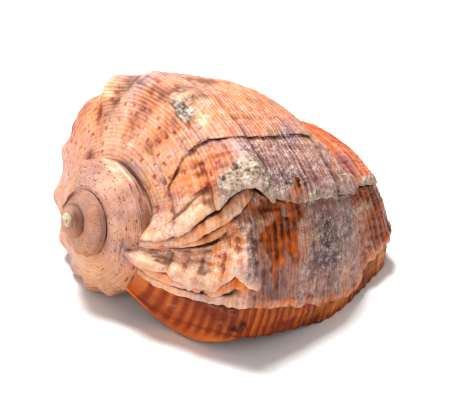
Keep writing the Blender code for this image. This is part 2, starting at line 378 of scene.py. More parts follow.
# Unevenness: how often it changes in a turn and along the section, height, seed, and where it is.
wrinkles = [
    (150.0, 5.0, 0.0016, 11, "everywhere"),  # growth ridges
    (34.0, 11.0, 0.0030, 12, "everywhere"),
    (62.0, 7.0, 0.0056, 13, "gathered"),  # wrinkles that gather towards the suture
    (170.0, 14.0, 0.0034, 14, "gathered"),
    (240.0, 75.0, 0.0030, 17, "crumbly"),
    (320.0, 130.0, 0.0016, 15, "behind"),
    (300.0, 120.0, 0.0055, 16, "crusted"),
]
lipShape = {
    "recentTurns": 0.10,  # the newest shell swells over the siphonal flare and hollows past it
    "swell": (0.74, 0.13, 0.050),  # place, width, height
    "canalHollow": (0.84, 0.10, 0.030),
    "rimTurns": 0.016,
    "rimHeight": 0.004,
    "roundedTurns": 0.0022,  # how far the rounded edge stands out
    "thinTurns": 0.012,  # the wall is thinner over this much of the edge
    "thinShare": 0.45,
}


def sculptHeight(row, turn, place):
    height = np.zeros_like(turn)
    for at, side, tall, length, width in lumps:
        height += tall * hill(turn, at, length) * hill(place, side, width)
    recent = np.exp(-np.maximum(row, 0.0) / lipShape["recentTurns"])
    middle, width, tall = lipShape["swell"]
    height += tall * recent * hill(place, middle, width)
    start, reach, deep = lipShape["canalHollow"]
    height -= deep * recent * np.clip((place - start) / reach, 0.0, 1.0)
    fade = np.clip(place / 0.10, 0.0, 1.0) * np.clip((1.0 - place) / 0.25, 0.0, 1.0)
    height += lipShape["rimHeight"] * fade * np.exp(-np.maximum(row, 0.0) / lipShape["rimTurns"])
    gathered = plateau(place, 0.0, 0.05, 0.20, 0.32) * smooth(0.04, 0.07, row)
    fewer = 0.45 * smooth(0.15, 0.18, row) + 0.2 * smooth(0.20, 0.24, row) + 0.25 * smooth(0.30, 0.60, row)
    gathered = gathered * (1.0 - fewer)
    crusted = hill(turn, 0.180, 0.014) * hill(place, 0.262, 0.036)
    crusted += hill(turn, 0.280, 0.020) * hill(place, 0.226, 0.024)
    where = {
        "everywhere": fade,
        "gathered": gathered,
        "crumbly": gathered * (1.0 - smooth(0.14, 0.16, row)),
        "behind": smooth(0.0, 0.02, row),
        "crusted": crusted,
    }
    for perTurn, perSection, tall, seed, name in wrinkles:
        height += tall * latticeNoise(turn * perTurn, place * perSection, seed) * where[name]
    return height


# Bands of colour: first and last turn, lowest and highest place, strength, softness.
paintBands = {
    "orange": [
        (0.17, 0.225, 0.08, 0.24, 0.8, 0.012),
        (0.25, 0.36, 0.05, 0.20, 0.6, 0.012),
        (0.16, 0.42, 0.72, 1.2, 0.9, 0.012),
        (0.225, 0.30, 0.27, 0.60, 0.45, 0.012),
        (0.05, 0.15, 0.70, 0.98, 0.8, 0.012),
        (0.07, 0.13, 0.16, 0.22, 0.5, 0.012),
        (0.40, 0.55, 0.05, 0.22, 0.35, 0.012),
    ],
    "flare": [(0.16, 0.44, 0.735, 1.2, 1.0, 0.008)],
    "purple": [
        (0.05, 0.15, 0.44, 0.68, 0.85, 0.022),
        (0.155, 0.215, 0.27, 0.80, 0.75, 0.012),
        (0.06, 0.15, 0.70, 0.80, 0.65, 0.020),
        (0.052, 0.09, 0.27, 0.44, 0.8, 0.012),
        (0.155, 0.19, 0.06, 0.22, 0.35, 0.012),
        (1.75, 3.0, 0.0, 0.14, 0.35, 0.012),
    ],
    "amber": [(0.050, 0.145, 0.76, 0.97, 0.85, 0.020)],
    "chalk": [
        (0.05, 0.15, 0.43, 0.80, 0.8, 0.012),
        (0.155, 0.215, 0.26, 0.90, 0.9, 0.012),
        (0.055, 0.15, 0.02, 0.26, 0.75, 0.012),
        (0.225, 0.5, 0.26, 0.9, 0.35, 0.012),
    ],
    "cream": [(0.10, 0.12, 0.72, 0.80, 0.5, 0.012)],
    "dashes": [
        (0.155, 0.60, 0.02, 0.24, 1.0, 0.012),
        (0.90, 1.45, 0.0, 0.33, 1.0, 0.012),
        (1.7, 3.2, 0.0, 0.30, 0.9, 0.012),
    ],
}
# Spots of colour: turn, place, length in turns, width along the section, strength.
paintSpots = {
    "purple": [
        (0.072, 0.505, 0.026, 0.030, 1.0),
        (0.025, 0.257, 0.010, 0.016, 0.9),
        (0.348, 0.231, 0.024, 0.022, 0.9),
        (0.300, 0.208, 0.012, 0.014, 0.8),
        (1.062, 0.166, 0.018, 0.030, 0.9),
        (0.933, 0.120, 0.020, 0.030, 0.9),
        (0.118, 0.860, 0.020, 0.030, 0.7),
        (1.140, 0.260, 0.030, 0.020, 0.8),
        (0.380, 0.120, 0.030, 0.040, 0.45),
    ],
    "amber": [(0.088, 0.366, 0.010, 0.020, 1.0)],
    "darkSpotsAndShade": [
        # the first is painted shade in the hollow under the arch
        (0.142, 0.322, 0.007, 0.020, 1.0),
        (0.088, 0.364, 0.006, 0.014, 0.9),
        (0.025, 0.257, 0.006, 0.010, 1.0),
        (0.117, 0.500, 0.005, 0.010, 0.9),
    ],
    "crust": [
        (0.180, 0.262, 0.013, 0.030, 0.8),
        (0.280, 0.226, 0.020, 0.022, 1.2),
        (0.160, 0.840, 0.008, 0.050, 0.8),
        (0.160, 0.400, 0.006, 0.100, 0.7),
        (0.160, 0.600, 0.005, 0.100, 0.5),
        (0.122, 0.238, 0.008, 0.010, 0.6),
    ],
    "cream": [
        (1.270, 0.285, 0.070, 0.026, 0.8),
        (0.413, 0.217, 0.007, 0.026, 0.55),
        (1.237, 0.222, 0.012, 0.016, 0.9),
        (1.350, 0.292, 0.012, 0.014, 0.8),
        (0.256, 0.245, 0.010, 0.010, 0.6),
    ],
    "stain": [
        (1.190, 0.312, 0.050, 0.016, 1.0),
        (1.100, 0.290, 0.040, 0.014, 0.8),
        (0.390, 0.155, 0.006, 0.010, 0.8),
    ],
}
# Darker patches on slots and hollows, with clean edges, in the same order.
darkSlotPatches = [
    (0.424, 0.148, 0.009, 0.022, 1.6),
    (0.507, 0.218, 0.011, 0.014, 1.6),
    (0.448, 0.030, 0.020, 0.018, 1.2),
    (2.470, 0.200, 0.100, 0.100, 1.5),
    (3.150, 0.140, 0.120, 0.100, 0.8),
]
paintEdges = {
    "wander": [(45.0, 22.0, 0.034, 31), (120.0, 70.0, 0.016, 32), (300.0, 170.0, 0.010, 33)],
    "newestRows": (0.043, 0.049),  # the newest shell ends at the first ledge
    "orangeRows": (0.044, 0.048, 0.051, 0.062),  # an orange line behind that ledge
    "orangeStart": (0.26, 0.32),
    "rustRows": [(0.066, 0.0045, 1.0), (0.128, 0.004, 0.8), (0.1425, 0.003, 0.8)],  # row, width, strength
    "rustSpan": (0.01, 0.05, 0.24, 0.30),
    "ridge": (0.112, 0.034, 0.241),  # turn, length and place of the shoulder ridge
    "ridgeLine": (0.110, 0.030, 0.249, 0.006),  # the dark line along it
    "amberCorners": ([0.088, 0.123, 0.147], [0.350, 0.292, 0.278]),  # turns, and where the patch starts there
    "amberTurns": (0.086, 0.096, 0.149, 0.153),
    "crustRows": (0.150, 0.153, 0.158, 0.170),
    "crustAlong": (0.250, 0.042),
    "thinCrustRows": (0.151, 0.153, 0.153, 0.156),
    "thinCrustSpan": (0.276, 0.324, 0.866, 0.914),
    "creamTurns": (3.5, 3.9),  # the tip of the spire is worn to a pale bead
    "chalkEverywhere": 0.24,
}


def paintShell(row, turn, place):
    # where each colour of the shell shows, from 0 to 1
    wander = np.zeros_like(turn)
    for perTurn, perSection, reach, seed in paintEdges["wander"]:
        wander += reach * latticeNoise(turn * perTurn, place * perSection, seed)
    side = place + wander
    when = turn + 0.5 * wander

    def painted(name):
        total = np.zeros_like(turn)
        for first, last, low, high, strength, soft in paintBands.get(name, []):
            along = plateau(side, low - 2 * soft, low + 2 * soft, high - 2 * soft, high + 2 * soft)
            total += strength * along * plateau(when, first - soft, first + soft, last - soft, last + soft)
        for at, along, length, width, strength in paintSpots.get(name, []):
            total += strength * hill(when, at, length) * hill(side, along, width)
        return total

    newest = 1.0 - smooth(*paintEdges["newestRows"], row)
    orangeLine = plateau(row, *paintEdges["orangeRows"]) * smooth(*paintEdges["orangeStart"], side)
    rust = sum(strength * hill(row, at, width) for at, width, strength in paintEdges["rustRows"])
    rust = rust * plateau(side, *paintEdges["rustSpan"])
    rust = np.clip(rust * (0.75 + 0.8 * latticeNoise(turn * 60.0, place * 30.0, 34)), 0.0, 1.0)
    at, length, along = paintEdges["ridge"]
    ridge = hill(turn, at, length)
    at, length, lineAlong, lineWidth = paintEdges["ridgeLine"]
    ridgeLine = hill(turn, at, length) * hill(side, lineAlong, lineWidth) * smooth(-0.3, 0.5, wander * 30.0)
    amberStart = np.interp(when, *paintEdges["amberCorners"])
    amberPatch = smooth(-0.014, 0.012, side - amberStart) * (1.0 - smooth(0.405, 0.440, side))
    amberPatch = amberPatch * plateau(when, *paintEdges["amberTurns"])
    crust = 0.85 * plateau(row, *paintEdges["crustRows"]) * hill(side, *paintEdges["crustAlong"])
    crust += 0.35 * plateau(row, *paintEdges["thinCrustRows"]) * plateau(side, *paintEdges["thinCrustSpan"])
    stain = painted("stain")
    for slotTurn, slotAlong, length, width, strength in darkSlotPatches:
        stain += strength * hill(turn, slotTurn, length) * hill(place, slotAlong, width)
    paint = {
        "newBand": newest,
        "orange": painted("orange") + orangeLine,
        "rust": rust,
        "flare": painted("flare") * (1.0 - newest),
        "purple": painted("purple") + 1.3 * ridge * hill(side, along, 0.015),
        "amber": np.clip(amberPatch + painted("amber"), 0.0, 1.0) * (1.0 - newest),
        "darkSpotsAndShade": painted("darkSpotsAndShade") + 0.75 * ridgeLine,
        "crust": crust + painted("crust"),
        "chalk": painted("chalk") + 0.9 * ridge * hill(side, along, 0.018) + paintEdges["chalkEverywhere"],
        "cream": painted("cream") + smooth(*paintEdges["creamTurns"], turn),
        "stain": stain,
        "dashes": np.clip(painted("dashes"), 0.0, 1.0) * (1.0 - newest),
    }
    paint = {name: np.clip(values, 0.0, 1.0) for name, values in paint.items()}
    for name, share in [("amber", 0.9), ("flare", 0.8), ("rust", 0.8), ("newBand", 0.92)]:
        paint["chalk"] = paint["chalk"] * (1.0 - share * paint[name])
    return paint


# Dark lines where walls meet, and painted shade in a crease: place, width, strength, the rows they run
# between.
darkLines = [
    (0.0, 0.012, 0.75, (-2.0, -1.0, 20.0, 21.0)),  # the suture
    (0.345, 0.012, 0.80, (1.15, 1.22, 20.0, 21.0)),  # the lower edge of the spire's whorls
    # painted shade in the crease beside the siphonal flare
    (0.742, 0.007, 0.80, (0.160, 0.175, 0.29, 0.34)),  # the crease beside the siphonal flare
]


def darkLinesAndCreaseShade(row, place):
    suture, spire, crease = [
        strength * hill(place, at, width) * plateau(row, *rows) for at, width, strength, rows in darkLines
    ]
    seam = np.maximum(suture + spire, crease)
    return seam * (0.8 + 0.5 * latticeNoise(row * 30.0, place * 20.0, 21)) * smooth(0.02, 0.08, row)


def makeChart():
    turns, depths = chartRows()
    places = chartColumns()
    row, place = np.meshgrid(turns, places, indexing="ij")
    depth = np.repeat(depths[:, None], len(places), axis=1)
    front = place <= 1.0
    outside = front & (depth == 0.0)
    nearSuture = np.clip((place - 1.85) / 0.15, 0.0, 1.0)
    turn = growthTurn(row, np.where(front, place, 0.0))
    turn = np.where(front, turn, row + (turn - row) * nearSuture)
    height = np.where(front & (depth < 1.0), sculptHeight(row, turn, place), 0.0)
    folded = foldWall(row, turn, np.clip(place, 0.0, 1.0), height)
    turn = np.where(outside, folded[0], turn)
    height = np.where(outside, folded[1], height)
    shade, crest, face = [np.where(outside, values, 0.0) for values in folded[2:]]
    # the lip's edge is rounded and thinner than the wall behind it
    turn -= lipShape["roundedTurns"] * np.sin(math.pi * depth) * front
    thin = lipShape["thinShare"] * coil["wall"] / coil["length"] * np.exp(-row / lipShape["thinTurns"])
    thinned = np.maximum(height, sculptHeight(row, turn, place) + thin * depth)
    height = np.where(front & (depth > 0.0), thinned, height)
    seam = np.where(outside, np.clip(darkLinesAndCreaseShade(row, place), 0.0, 1.0), 0.0)
    # shade holds painted shade in front of the folds and in the crease, with the dark suture lines; wall
    # holds painted shade on the folds' steep faces
    marks = {"depth": depth, "shade": np.maximum(shade, seam), "crest": crest, "wall": face}
    marks.update(paintShell(row, turn, place))
    # painted shade in hollows and painted light on ridges, from how far the height stands off its local
    # average
    evened = height
    for axis, reach in [(0, 5), (1, 4)]:
        evened = sum(np.roll(evened, step, axis) for step in range(-reach, reach + 1)) / (2 * reach + 1)
    relief = np.clip((height - evened) / 0.0035, -1.0, 1.0)
    marks["relief"] = relief * outside * (1.0 - smooth(0.30, 0.60, row))

    rows, columns = turn.shape
    mesh = bpy.data.meshes.new("chart")
    points = np.stack([turn, place, height], axis=-1).reshape(-1, 3)
    index = np.arange(rows * columns).reshape(rows, columns)
    nextColumn = np.roll(index, -1, axis=1)
    quads = np.stack([index[:-1], nextColumn[:-1], nextColumn[1:], index[1:]], axis=-1).reshape(-1, 4)
    faces = quads.tolist() + [index[0][::-1].tolist(), index[-1].tolist()]
    mesh.from_pydata(points.tolist(), [], faces)
    for name, values in marks.items():
        layer = mesh.attributes.new(name, "FLOAT", "POINT")
        layer.data.foreach_set("value", values.reshape(-1).astype(np.float32))
    print("chart laid out:", rows, "rows of", columns)
    return mesh


def outlineObject(name, points):
    curve = bpy.data.curves.new(name, "CURVE")
    curve.dimensions = "3D"
    spline = curve.splines.new("BEZIER")
    spline.resolution_u = 14
    spline.bezier_points.add(len(points) - 1)
    for knot, (radius, axial) in zip(spline.bezier_points, points):
        knot.co = (radius, axial, 0.0)
        knot.handle_left_type = knot.handle_right_type = "AUTO"
    outline = bpy.data.objects.new(name, curve)
    bpy.context.collection.objects.link(outline)
    return outline


def sectionSizeGroup():
    tree = bpy.data.node_groups.new("section size", "GeometryNodeTree")
    for name in ["Turn", "Length", "Growth", "Wall"]:
        tree.interface.new_socket(name, in_out="INPUT", socket_type="NodeSocketFloat")
    for name in ["Size", "Thickness"]:
        tree.interface.new_socket(name, in_out="OUTPUT", socket_type="NodeSocketFloat")
    given = addNode(tree, "NodeGroupInput").outputs
    back = addNode(tree, "ShaderNodeMath", given["Turn"], -1.0, operation="MULTIPLY")
    power = addNode(tree, "ShaderNodeMath", given["Growth"], back, operation="POWER")
    share = addNode(tree, "ShaderNodeMapRange", given["Turn"], 0.0, driftEnd, 0.0, 1.0)
    drift = addNode(tree, "ShaderNodeFloatCurve", 1.0, share)
    points = drift.mapping.curves[0].points
    for place, (turn, amount) in enumerate(sizeDrift):
        spot = (turn / driftEnd, 0.5 + amount)
        if place == 0:
            points[0].location = spot
        elif place == len(sizeDrift) - 1:
            points[-1].location = spot
        else:
            points.new(*spot)
    drift.mapping.update()
    stray = addNode(tree, "ShaderNodeMath", drift, 0.5, operation="SUBTRACT")
    ratio = addNode(tree, "ShaderNodeMath", stray, operation="EXPONENT")
    steady = addNode(tree, "ShaderNodeMath", given["Length"], power, operation="MULTIPLY")
    size = addNode(tree, "ShaderNodeMath", steady, ratio, operation="MULTIPLY")
    root = addNode(tree, "ShaderNodeMath", power, operation="SQRT")
    thickness = addNode(tree, "ShaderNodeMath", root, given["Wall"], operation="MULTIPLY")
    addNode(tree, "NodeGroupOutput", size, thickness)
    return tree


def coilTree(material):
    tree = bpy.data.node_groups.new("whelk coil", "GeometryNodeTree")
    face = tree.interface
    face.new_socket("Geometry", in_out="INPUT", socket_type="NodeSocketGeometry")
    for name in ["Lip Outline", "Axis Outline", "Pillar Outline"]:
        face.new_socket(name, in_out="INPUT", socket_type="NodeSocketObject")
    numbers = [
        "Length", "Growth", "Wall", "Lip Angle", "Cord Count", "Cord Height",
        "Knob Spacing", "Knob Start", "Knob Height", "Knob Length", "Knob Along", "Knob Width",
    ]
    for name in numbers:
        face.new_socket(name, in_out="INPUT", socket_type="NodeSocketFloat")
    face.new_socket("Geometry", in_out="OUTPUT", socket_type="NodeSocketGeometry")
    given = addNode(tree, "NodeGroupInput").outputs
    sizes = sectionSizeGroup()

    # read the chart
    chart = addNode(tree, "ShaderNodeSeparateXYZ", addNode(tree, "GeometryNodeInputPosition")).outputs
    turn, place, lift = chart[0], chart[1], chart[2]
    depth = addNode(tree, "GeometryNodeInputNamedAttribute", "depth", data_type="FLOAT")
    isBack = addNode(tree, "ShaderNodeMath", place, chartSteps["axisEnd"], operation="GREATER_THAN")
    isFront = addNode(tree, "ShaderNodeMath", place, 1.0001, operation="LESS_THAN")
    notDeep = addNode(tree, "ShaderNodeMath", 1.0, depth, operation="SUBTRACT")
    outside = addNode(tree, "ShaderNodeMath", isFront, notDeep, operation="MULTIPLY")

    # place along the outline, on this whorl or on the earlier one
    innerPlace = addNode(tree, "ShaderNodeMapRange", place, 0.0, 1.0, coil["innerStart"], 1.0)
    frontAlong = addNode(tree, "ShaderNodeMix", {0: depth, 2: place, 3: innerPlace}, data_type="FLOAT")
    backStart = addNode(tree, "ShaderNodeMapRange", depth, 0.0, 1.0, 1.0, coil["innerBack"])
    climb = addNode(
        tree, "ShaderNodeMapRange", turn, *coil["climbTurns"], coil["sutureClimbed"], coil["sutureAlong"],
        interpolation_type="SMOOTHSTEP",
    )
    innerEnd = addNode(tree, "ShaderNodeMath", climb, coil["innerStep"], operation="ADD")
    backEnd = addNode(tree, "ShaderNodeMix", {0: depth, 2: climb, 3: innerEnd}, data_type="FLOAT")
    backAlong = addNode(tree, "ShaderNodeMapRange", place, chartSteps["axisEnd"], 2.0, backStart, backEnd)
    along = addNode(tree, "ShaderNodeMix", {0: isBack, 2: frontAlong, 3: backAlong}, data_type="FLOAT")
    earlier = addNode(tree, "ShaderNodeMath", turn, 1.0, operation="ADD")
    ownTurn = addNode(tree, "ShaderNodeMath", turn, isBack, operation="ADD")
    measures = [given["Length"], given["Growth"], given["Wall"]]
    here = addNode(tree, "GeometryNodeGroup", {"Turn": turn}, node_tree=sizes)
    there = addNode(tree, "GeometryNodeGroup", {"Turn": earlier}, node_tree=sizes)
    own = addNode(tree, "GeometryNodeGroup", {"Turn": ownTurn}, node_tree=sizes)
    for group in [here, there, own]:
        for slot, socket in enumerate(measures):
            tree.links.new(socket, group.inputs[slot + 1])

    # spiral cords, and knobs spaced along the shoulder of the older shell
    wave = addNode(tree, "ShaderNodeMath", given["Cord Count"], along, operation="MULTIPLY")
    wave = addNode(tree, "ShaderNodeMath", wave, math.tau, operation="MULTIPLY")
    wave = addNode(tree, "ShaderNodeMath", wave, operation="COSINE")
    sutureFade = addNode(tree, "ShaderNodeMapRange", along, *ribs["cordFade"], 1.0)
    tipFade = addNode(tree, "ShaderNodeMapRange", along, *ribs["cordEnd"], 0.0, 1.0)
    cords = addNode(tree, "ShaderNodeMath", wave, given["Cord Height"], operation="MULTIPLY")
    cords = addNode(tree, "ShaderNodeMath", cords, sutureFade, operation="MULTIPLY")
    cords = addNode(tree, "ShaderNodeMath", cords, tipFade, operation="MULTIPLY")
    since = addNode(tree, "ShaderNodeMath", turn, given["Knob Start"], operation="SUBTRACT")
    since = addNode(tree, "ShaderNodeMath", since, given["Knob Spacing"], operation="DIVIDE")
    nearest = addNode(tree, "ShaderNodeMath", since, operation="ROUND")
    off = addNode(tree, "ShaderNodeMath", since, nearest, operation="SUBTRACT")
    off = addNode(tree, "ShaderNodeMath", off, given["Knob Spacing"], operation="MULTIPLY")
    off = addNode(tree, "ShaderNodeMath", off, given["Knob Length"], operation="DIVIDE")
    aside = addNode(tree, "ShaderNodeMath", along, given["Knob Along"], operation="SUBTRACT")
    aside = addNode(tree, "ShaderNodeMath", aside, given["Knob Width"], operation="DIVIDE")
    off = addNode(tree, "ShaderNodeMath", off, off, operation="MULTIPLY")
    aside = addNode(tree, "ShaderNodeMath", aside, aside, operation="MULTIPLY")
    knob = addNode(tree, "ShaderNodeMath", off, aside, operation="ADD")
    knob = addNode(tree, "ShaderNodeMath", knob, -1.0, operation="MULTIPLY")
    knob = addNode(tree, "ShaderNodeMath", knob, operation="EXPONENT")
    older = addNode(tree, "ShaderNodeMapRange", turn, *ribs["knobTurns"], 0.0, 1.0)
    knob = addNode(tree, "ShaderNodeMath", knob, older, operation="MULTIPLY")
    ribbing = addNode(tree, "ShaderNodeMath", knob, given["Knob Height"], cords, operation="MULTIPLY_ADD")
    lift = addNode(tree, "ShaderNodeMath", ribbing, outside, lift, operation="MULTIPLY_ADD")

    # how far the point stands off the outline, outside and inside the wall
    raised = addNode(tree, "ShaderNodeMath", lift, here, operation="MULTIPLY")
    sunk = addNode(tree, "ShaderNodeMath", there.outputs[1], -coil["sunkShare"], operation="MULTIPLY")
    glazed = addNode(tree, "ShaderNodeMath", here.outputs[1], coil["glazeShare"], operation="MULTIPLY")
    under = addNode(tree, "ShaderNodeMath", raised, here.outputs[1], operation="SUBTRACT")
    outerOff = addNode(tree, "ShaderNodeMix", {0: isBack, 2: raised, 3: sunk}, data_type="FLOAT")
    innerOff = addNode(tree, "ShaderNodeMix", {0: isBack, 2: under, 3: glazed}, data_type="FLOAT")
    standOff = addNode(tree, "ShaderNodeMix", {0: depth, 2: outerOff, 3: innerOff}, data_type="FLOAT")

    # point of the section plane
    curves = {}
    for name in ["Lip Outline", "Axis Outline", "Pillar Outline"]:
        curves[name] = addNode(tree, "GeometryNodeObjectInfo", given[name]).outputs["Geometry"]
    spot = addNode(
        tree, "GeometryNodeSampleCurve", {"Curves": curves["Lip Outline"], "Factor": along}, mode="FACTOR"
    ).outputs
    run = addNode(tree, "ShaderNodeSeparateXYZ", spot["Tangent"]).outputs
    inward = addNode(tree, "ShaderNodeMath", run[0], -1.0, operation="MULTIPLY")
    square = addNode(tree, "ShaderNodeCombineXYZ", run[1], inward)
    onFace = addNode(tree, "ShaderNodeVectorMath", {0: spot["Position"], "Scale": own}, operation="SCALE")
    stood = addNode(tree, "ShaderNodeVectorMath", {0: square, "Scale": standOff}, operation="SCALE")
    onFace = addNode(tree, "ShaderNodeVectorMath", onFace, stood, operation="ADD")

    # the suture: the new wall starts on the earlier whorl
    joins = []
    for share in [climb, 0.0]:
        joins.append(addNode(
            tree, "GeometryNodeSampleCurve", {"Curves": curves["Lip Outline"], "Factor": share}, mode="FACTOR"
        ).outputs)
    lean = addNode(tree, "ShaderNodeSeparateXYZ", joins[0]["Tangent"]).outputs
    leanIn = addNode(tree, "ShaderNodeMath", lean[0], -1.0, operation="MULTIPLY")
    outward = addNode(tree, "ShaderNodeCombineXYZ", lean[1], leanIn)
    seatAt = addNode(
        tree, "ShaderNodeVectorMath", {0: joins[0]["Position"], "Scale": there}, operation="SCALE",
    )
    letIn = addNode(tree, "ShaderNodeVectorMath", {0: outward, "Scale": sunk}, operation="SCALE")
    seatAt = addNode(tree, "ShaderNodeVectorMath", seatAt, letIn, operation="ADD")
    starts = addNode(
        tree, "ShaderNodeVectorMath", {0: joins[1]["Position"], "Scale": here}, operation="SCALE",
    )
    shift = addNode(tree, "ShaderNodeVectorMath", seatAt, starts, operation="SUBTRACT")
    seat = addNode(tree, "ShaderNodeMapRange", along, 0.0, coil["seatAlong"], 1.0, 0.0)
    seat = addNode(tree, "ShaderNodeMath", seat, seat, operation="MULTIPLY")
    seat = addNode(tree, "ShaderNodeMath", seat, isFront, operation="MULTIPLY")
    shift = addNode(tree, "ShaderNodeVectorMath", {0: shift, "Scale": seat}, operation="SCALE")
    onFace = addNode(tree, "ShaderNodeVectorMath", onFace, shift, operation="ADD")

    # the solid pillar between the faces
    inset = coil["pillarInset"]
    pillarEnd = chartSteps["axisEnd"] - inset
    pillarShare = addNode(tree, "ShaderNodeMapRange", place, 1.0 + inset, pillarEnd, 0.0, 1.0)
    sides = []
    for name in ["Axis Outline", "Pillar Outline"]:
        sides.append(addNode(
            tree, "GeometryNodeSampleCurve", {"Curves": curves[name], "Factor": pillarShare}, mode="FACTOR"
        ).outputs["Position"])
    onPillar = addNode(tree, "ShaderNodeMix", {0: depth, 4: sides[0], 5: sides[1]}, data_type="VECTOR")
    onPillar = addNode(tree, "ShaderNodeVectorMath", {0: onPillar, "Scale": here}, operation="SCALE")
    onWall = addNode(tree, "ShaderNodeMath", isBack, isFront, operation="ADD")
    flat = addNode(tree, "ShaderNodeMix", {0: onWall, 4: onPillar, 5: onFace}, data_type="VECTOR")

    # turn the section plane round the axis
    parts = addNode(tree, "ShaderNodeSeparateXYZ", flat).outputs
    lipTurn = addNode(tree, "ShaderNodeMath", given["Lip Angle"], 360.0, operation="DIVIDE")
    angle = addNode(tree, "ShaderNodeMath", lipTurn, turn, operation="SUBTRACT")
    angle = addNode(tree, "ShaderNodeMath", angle, math.tau, operation="MULTIPLY")
    sine = addNode(tree, "ShaderNodeMath", angle, operation="SINE")
    cosine = addNode(tree, "ShaderNodeMath", angle, operation="COSINE")
    toFront = addNode(tree, "ShaderNodeMath", parts[0], sine, operation="MULTIPLY")
    toFront = addNode(tree, "ShaderNodeMath", toFront, -1.0, operation="MULTIPLY")
    upward = addNode(tree, "ShaderNodeMath", parts[0], cosine, operation="MULTIPLY")
    coiled = addNode(tree, "ShaderNodeCombineXYZ", parts[1], toFront, upward)

    # keep the chart's values for the finish, then put every point in its coiled place
    kept = given["Geometry"]
    for name, value in [("turn", turn), ("along", along), ("outside", outside)]:
        kept = addNode(
            tree, "GeometryNodeStoreNamedAttribute", {0: kept, "Name": name, "Value": value},
            data_type="FLOAT", domain="POINT",
        )
    moved = addNode(tree, "GeometryNodeSetPosition", {"Geometry": kept, "Position": coiled})
    closed = addNode(tree, "GeometryNodeMergeByDistance", {"Geometry": moved, "Distance": coil["weldGap"]})
    soft = addNode(tree, "GeometryNodeSetShadeSmooth", {0: closed})
    real = addNode(tree, "GeometryNodeRealizeInstances", {0: soft})
    finished = addNode(tree, "GeometryNodeSetMaterial", {"Geometry": real, "Material": material})
    addNode(tree, "NodeGroupOutput", finished)
    return tree


shellColours = {
    "peach": "#D59A6C",
    "rose": "#B8887E",
    "pale": "#E0C4B0",
    "orange": "#E07A22",
    "sand": "#D99E5A",
    "lavender": "#A48E92",
    "flare": "#C24A14",
    "newOrange": "#8C3A0A",
    "newStripe": "#D2823A",
    "mauve": "#8A6A74",
    "slate": "#43333E",
    "amber": "#A8520C",
    "amberStripe": "#4C1A04",
    "chalk": "#D8CAC4",
    "crust": "#958B78",
    "crustPit": "#332C24",
    "cream": "#F6E2C2",
    "stain": "#6E2A06",
    "dash": "#8C3428",
    # near-black brown, painted as shade and in dark spots
    "groove": "#1D0D06",
    "underside": "#B06528",
    "glaze": "#CF6416",
    "glazePale": "#EDB47C",
}
chartMarks = [
    "turn", "along", "outside", "flare", "rust", "shade", "crest", "newBand", "orange", "purple", "amber",
    "darkSpotsAndShade", "crust", "chalk", "cream", "stain", "dashes", "relief", "wall",
]
# Patterns in the shell: patch size in millimetres, how many finer layers, and how strong those are.
grains = {
    "blotch": (29.4, 4.0, 0.60),
    "fine": (1.923, 4.0, 0.70),
    "speck": (0.3846, 2.0, 0.70),
    "grit": (3.333, 3.0, 0.55),
    "wobble": (4.167, 3.0, 0.55),
    "threadDrift": (16.67, 3.0, 0.55),
    "stripeDrift": (22.22, 3.0, 0.55),
    "paleClouds": (13.33, 3.0, 0.55),
    "sandClouds": (19.23, 5.0, 0.60),
    "lavenderClouds": (21.28, 5.0, 0.62),
    "orangeClouds": (18.18, 4.0, 0.55),
    "flareClouds": (12.5, 4.0, 0.55),
    "dustClouds": (38.46, 5.0, 0.65),
    "grimeClouds": (14.29, 5.0, 0.62),
    "purpleClouds": (11.76, 5.0, 0.65),
    "amberGlow": (9.091, 3.0, 0.55),
    "amberClouds": (8.333, 3.0, 0.55),
    "newStains": (20.83, 3.0, 0.55),
    "newLights": (15.15, 3.0, 0.55),
    "streakGaps": (20.0, 3.0, 0.55),
    "creamFlakes": (7.692, 4.0, 0.55),
    "crestChips": (6.25, 3.0, 0.55),
    "rustFlecks": (5.263, 3.0, 0.55),
    "faceGaps": (7.143, 2.0, 0.55),
    "faceStains": (4.762, 3.0, 0.55),
    "glazeClouds": (33.33, 2.0, 0.55),
}
lavenderShift = (0.31, 0.17, 0.05)  # metres, so that its clouds don't follow the sandy ones
# Patterns drawn along the growth: how often they change in a turn and across, finer layers, strength.
drawn = {
    "growthLines": (260.0, 14.0, 3.0, 0.60),
    "streaks": (11.0, 95.0, 3.0, 0.60),
    "dashLengths": (95.0, 7.31, 1.0, 0.50),  # a new value for each row of dashes
}
# Spiral lines: how many round the section, what bends them, how far, and the part of the wave that shows.
spirals = {
    "threads": (92.0, "threadDrift", 2.6, -0.5, 0.9),  # 1.5 mm apart at the lip
    "stripes": (44.0, "stripeDrift", 3.0, -0.6, 0.8),  # 3 mm apart
}
shellSurface = {
    "dashRows": 46.0,  # 3 mm apart, on the cords
    "dashWobble": 0.022,
    "pitSize": 1.111,  # millimetres between the crust's pits
    "shoulder": (0.12, 0.27),  # threads are fainter up to here, and full from here on
    "threadColour": (0.09, 0.32),
    "threadRelief": (0.16, 0.5),
    "reliefs": [("growthLines", 0.5), ("fine", 0.9), ("pits", 2.0)],
    "bumpStrength": 0.9,
    "bumpDepth": 0.00042,  # metres
    "roughness": (0.42, 0.68),
    "amberRoughness": 0.30,
    "glazeRoughness": 0.22,
    "ior": 1.53,  # aragonite
    "specular": 0.3,  # dusty, so it reflects less
}
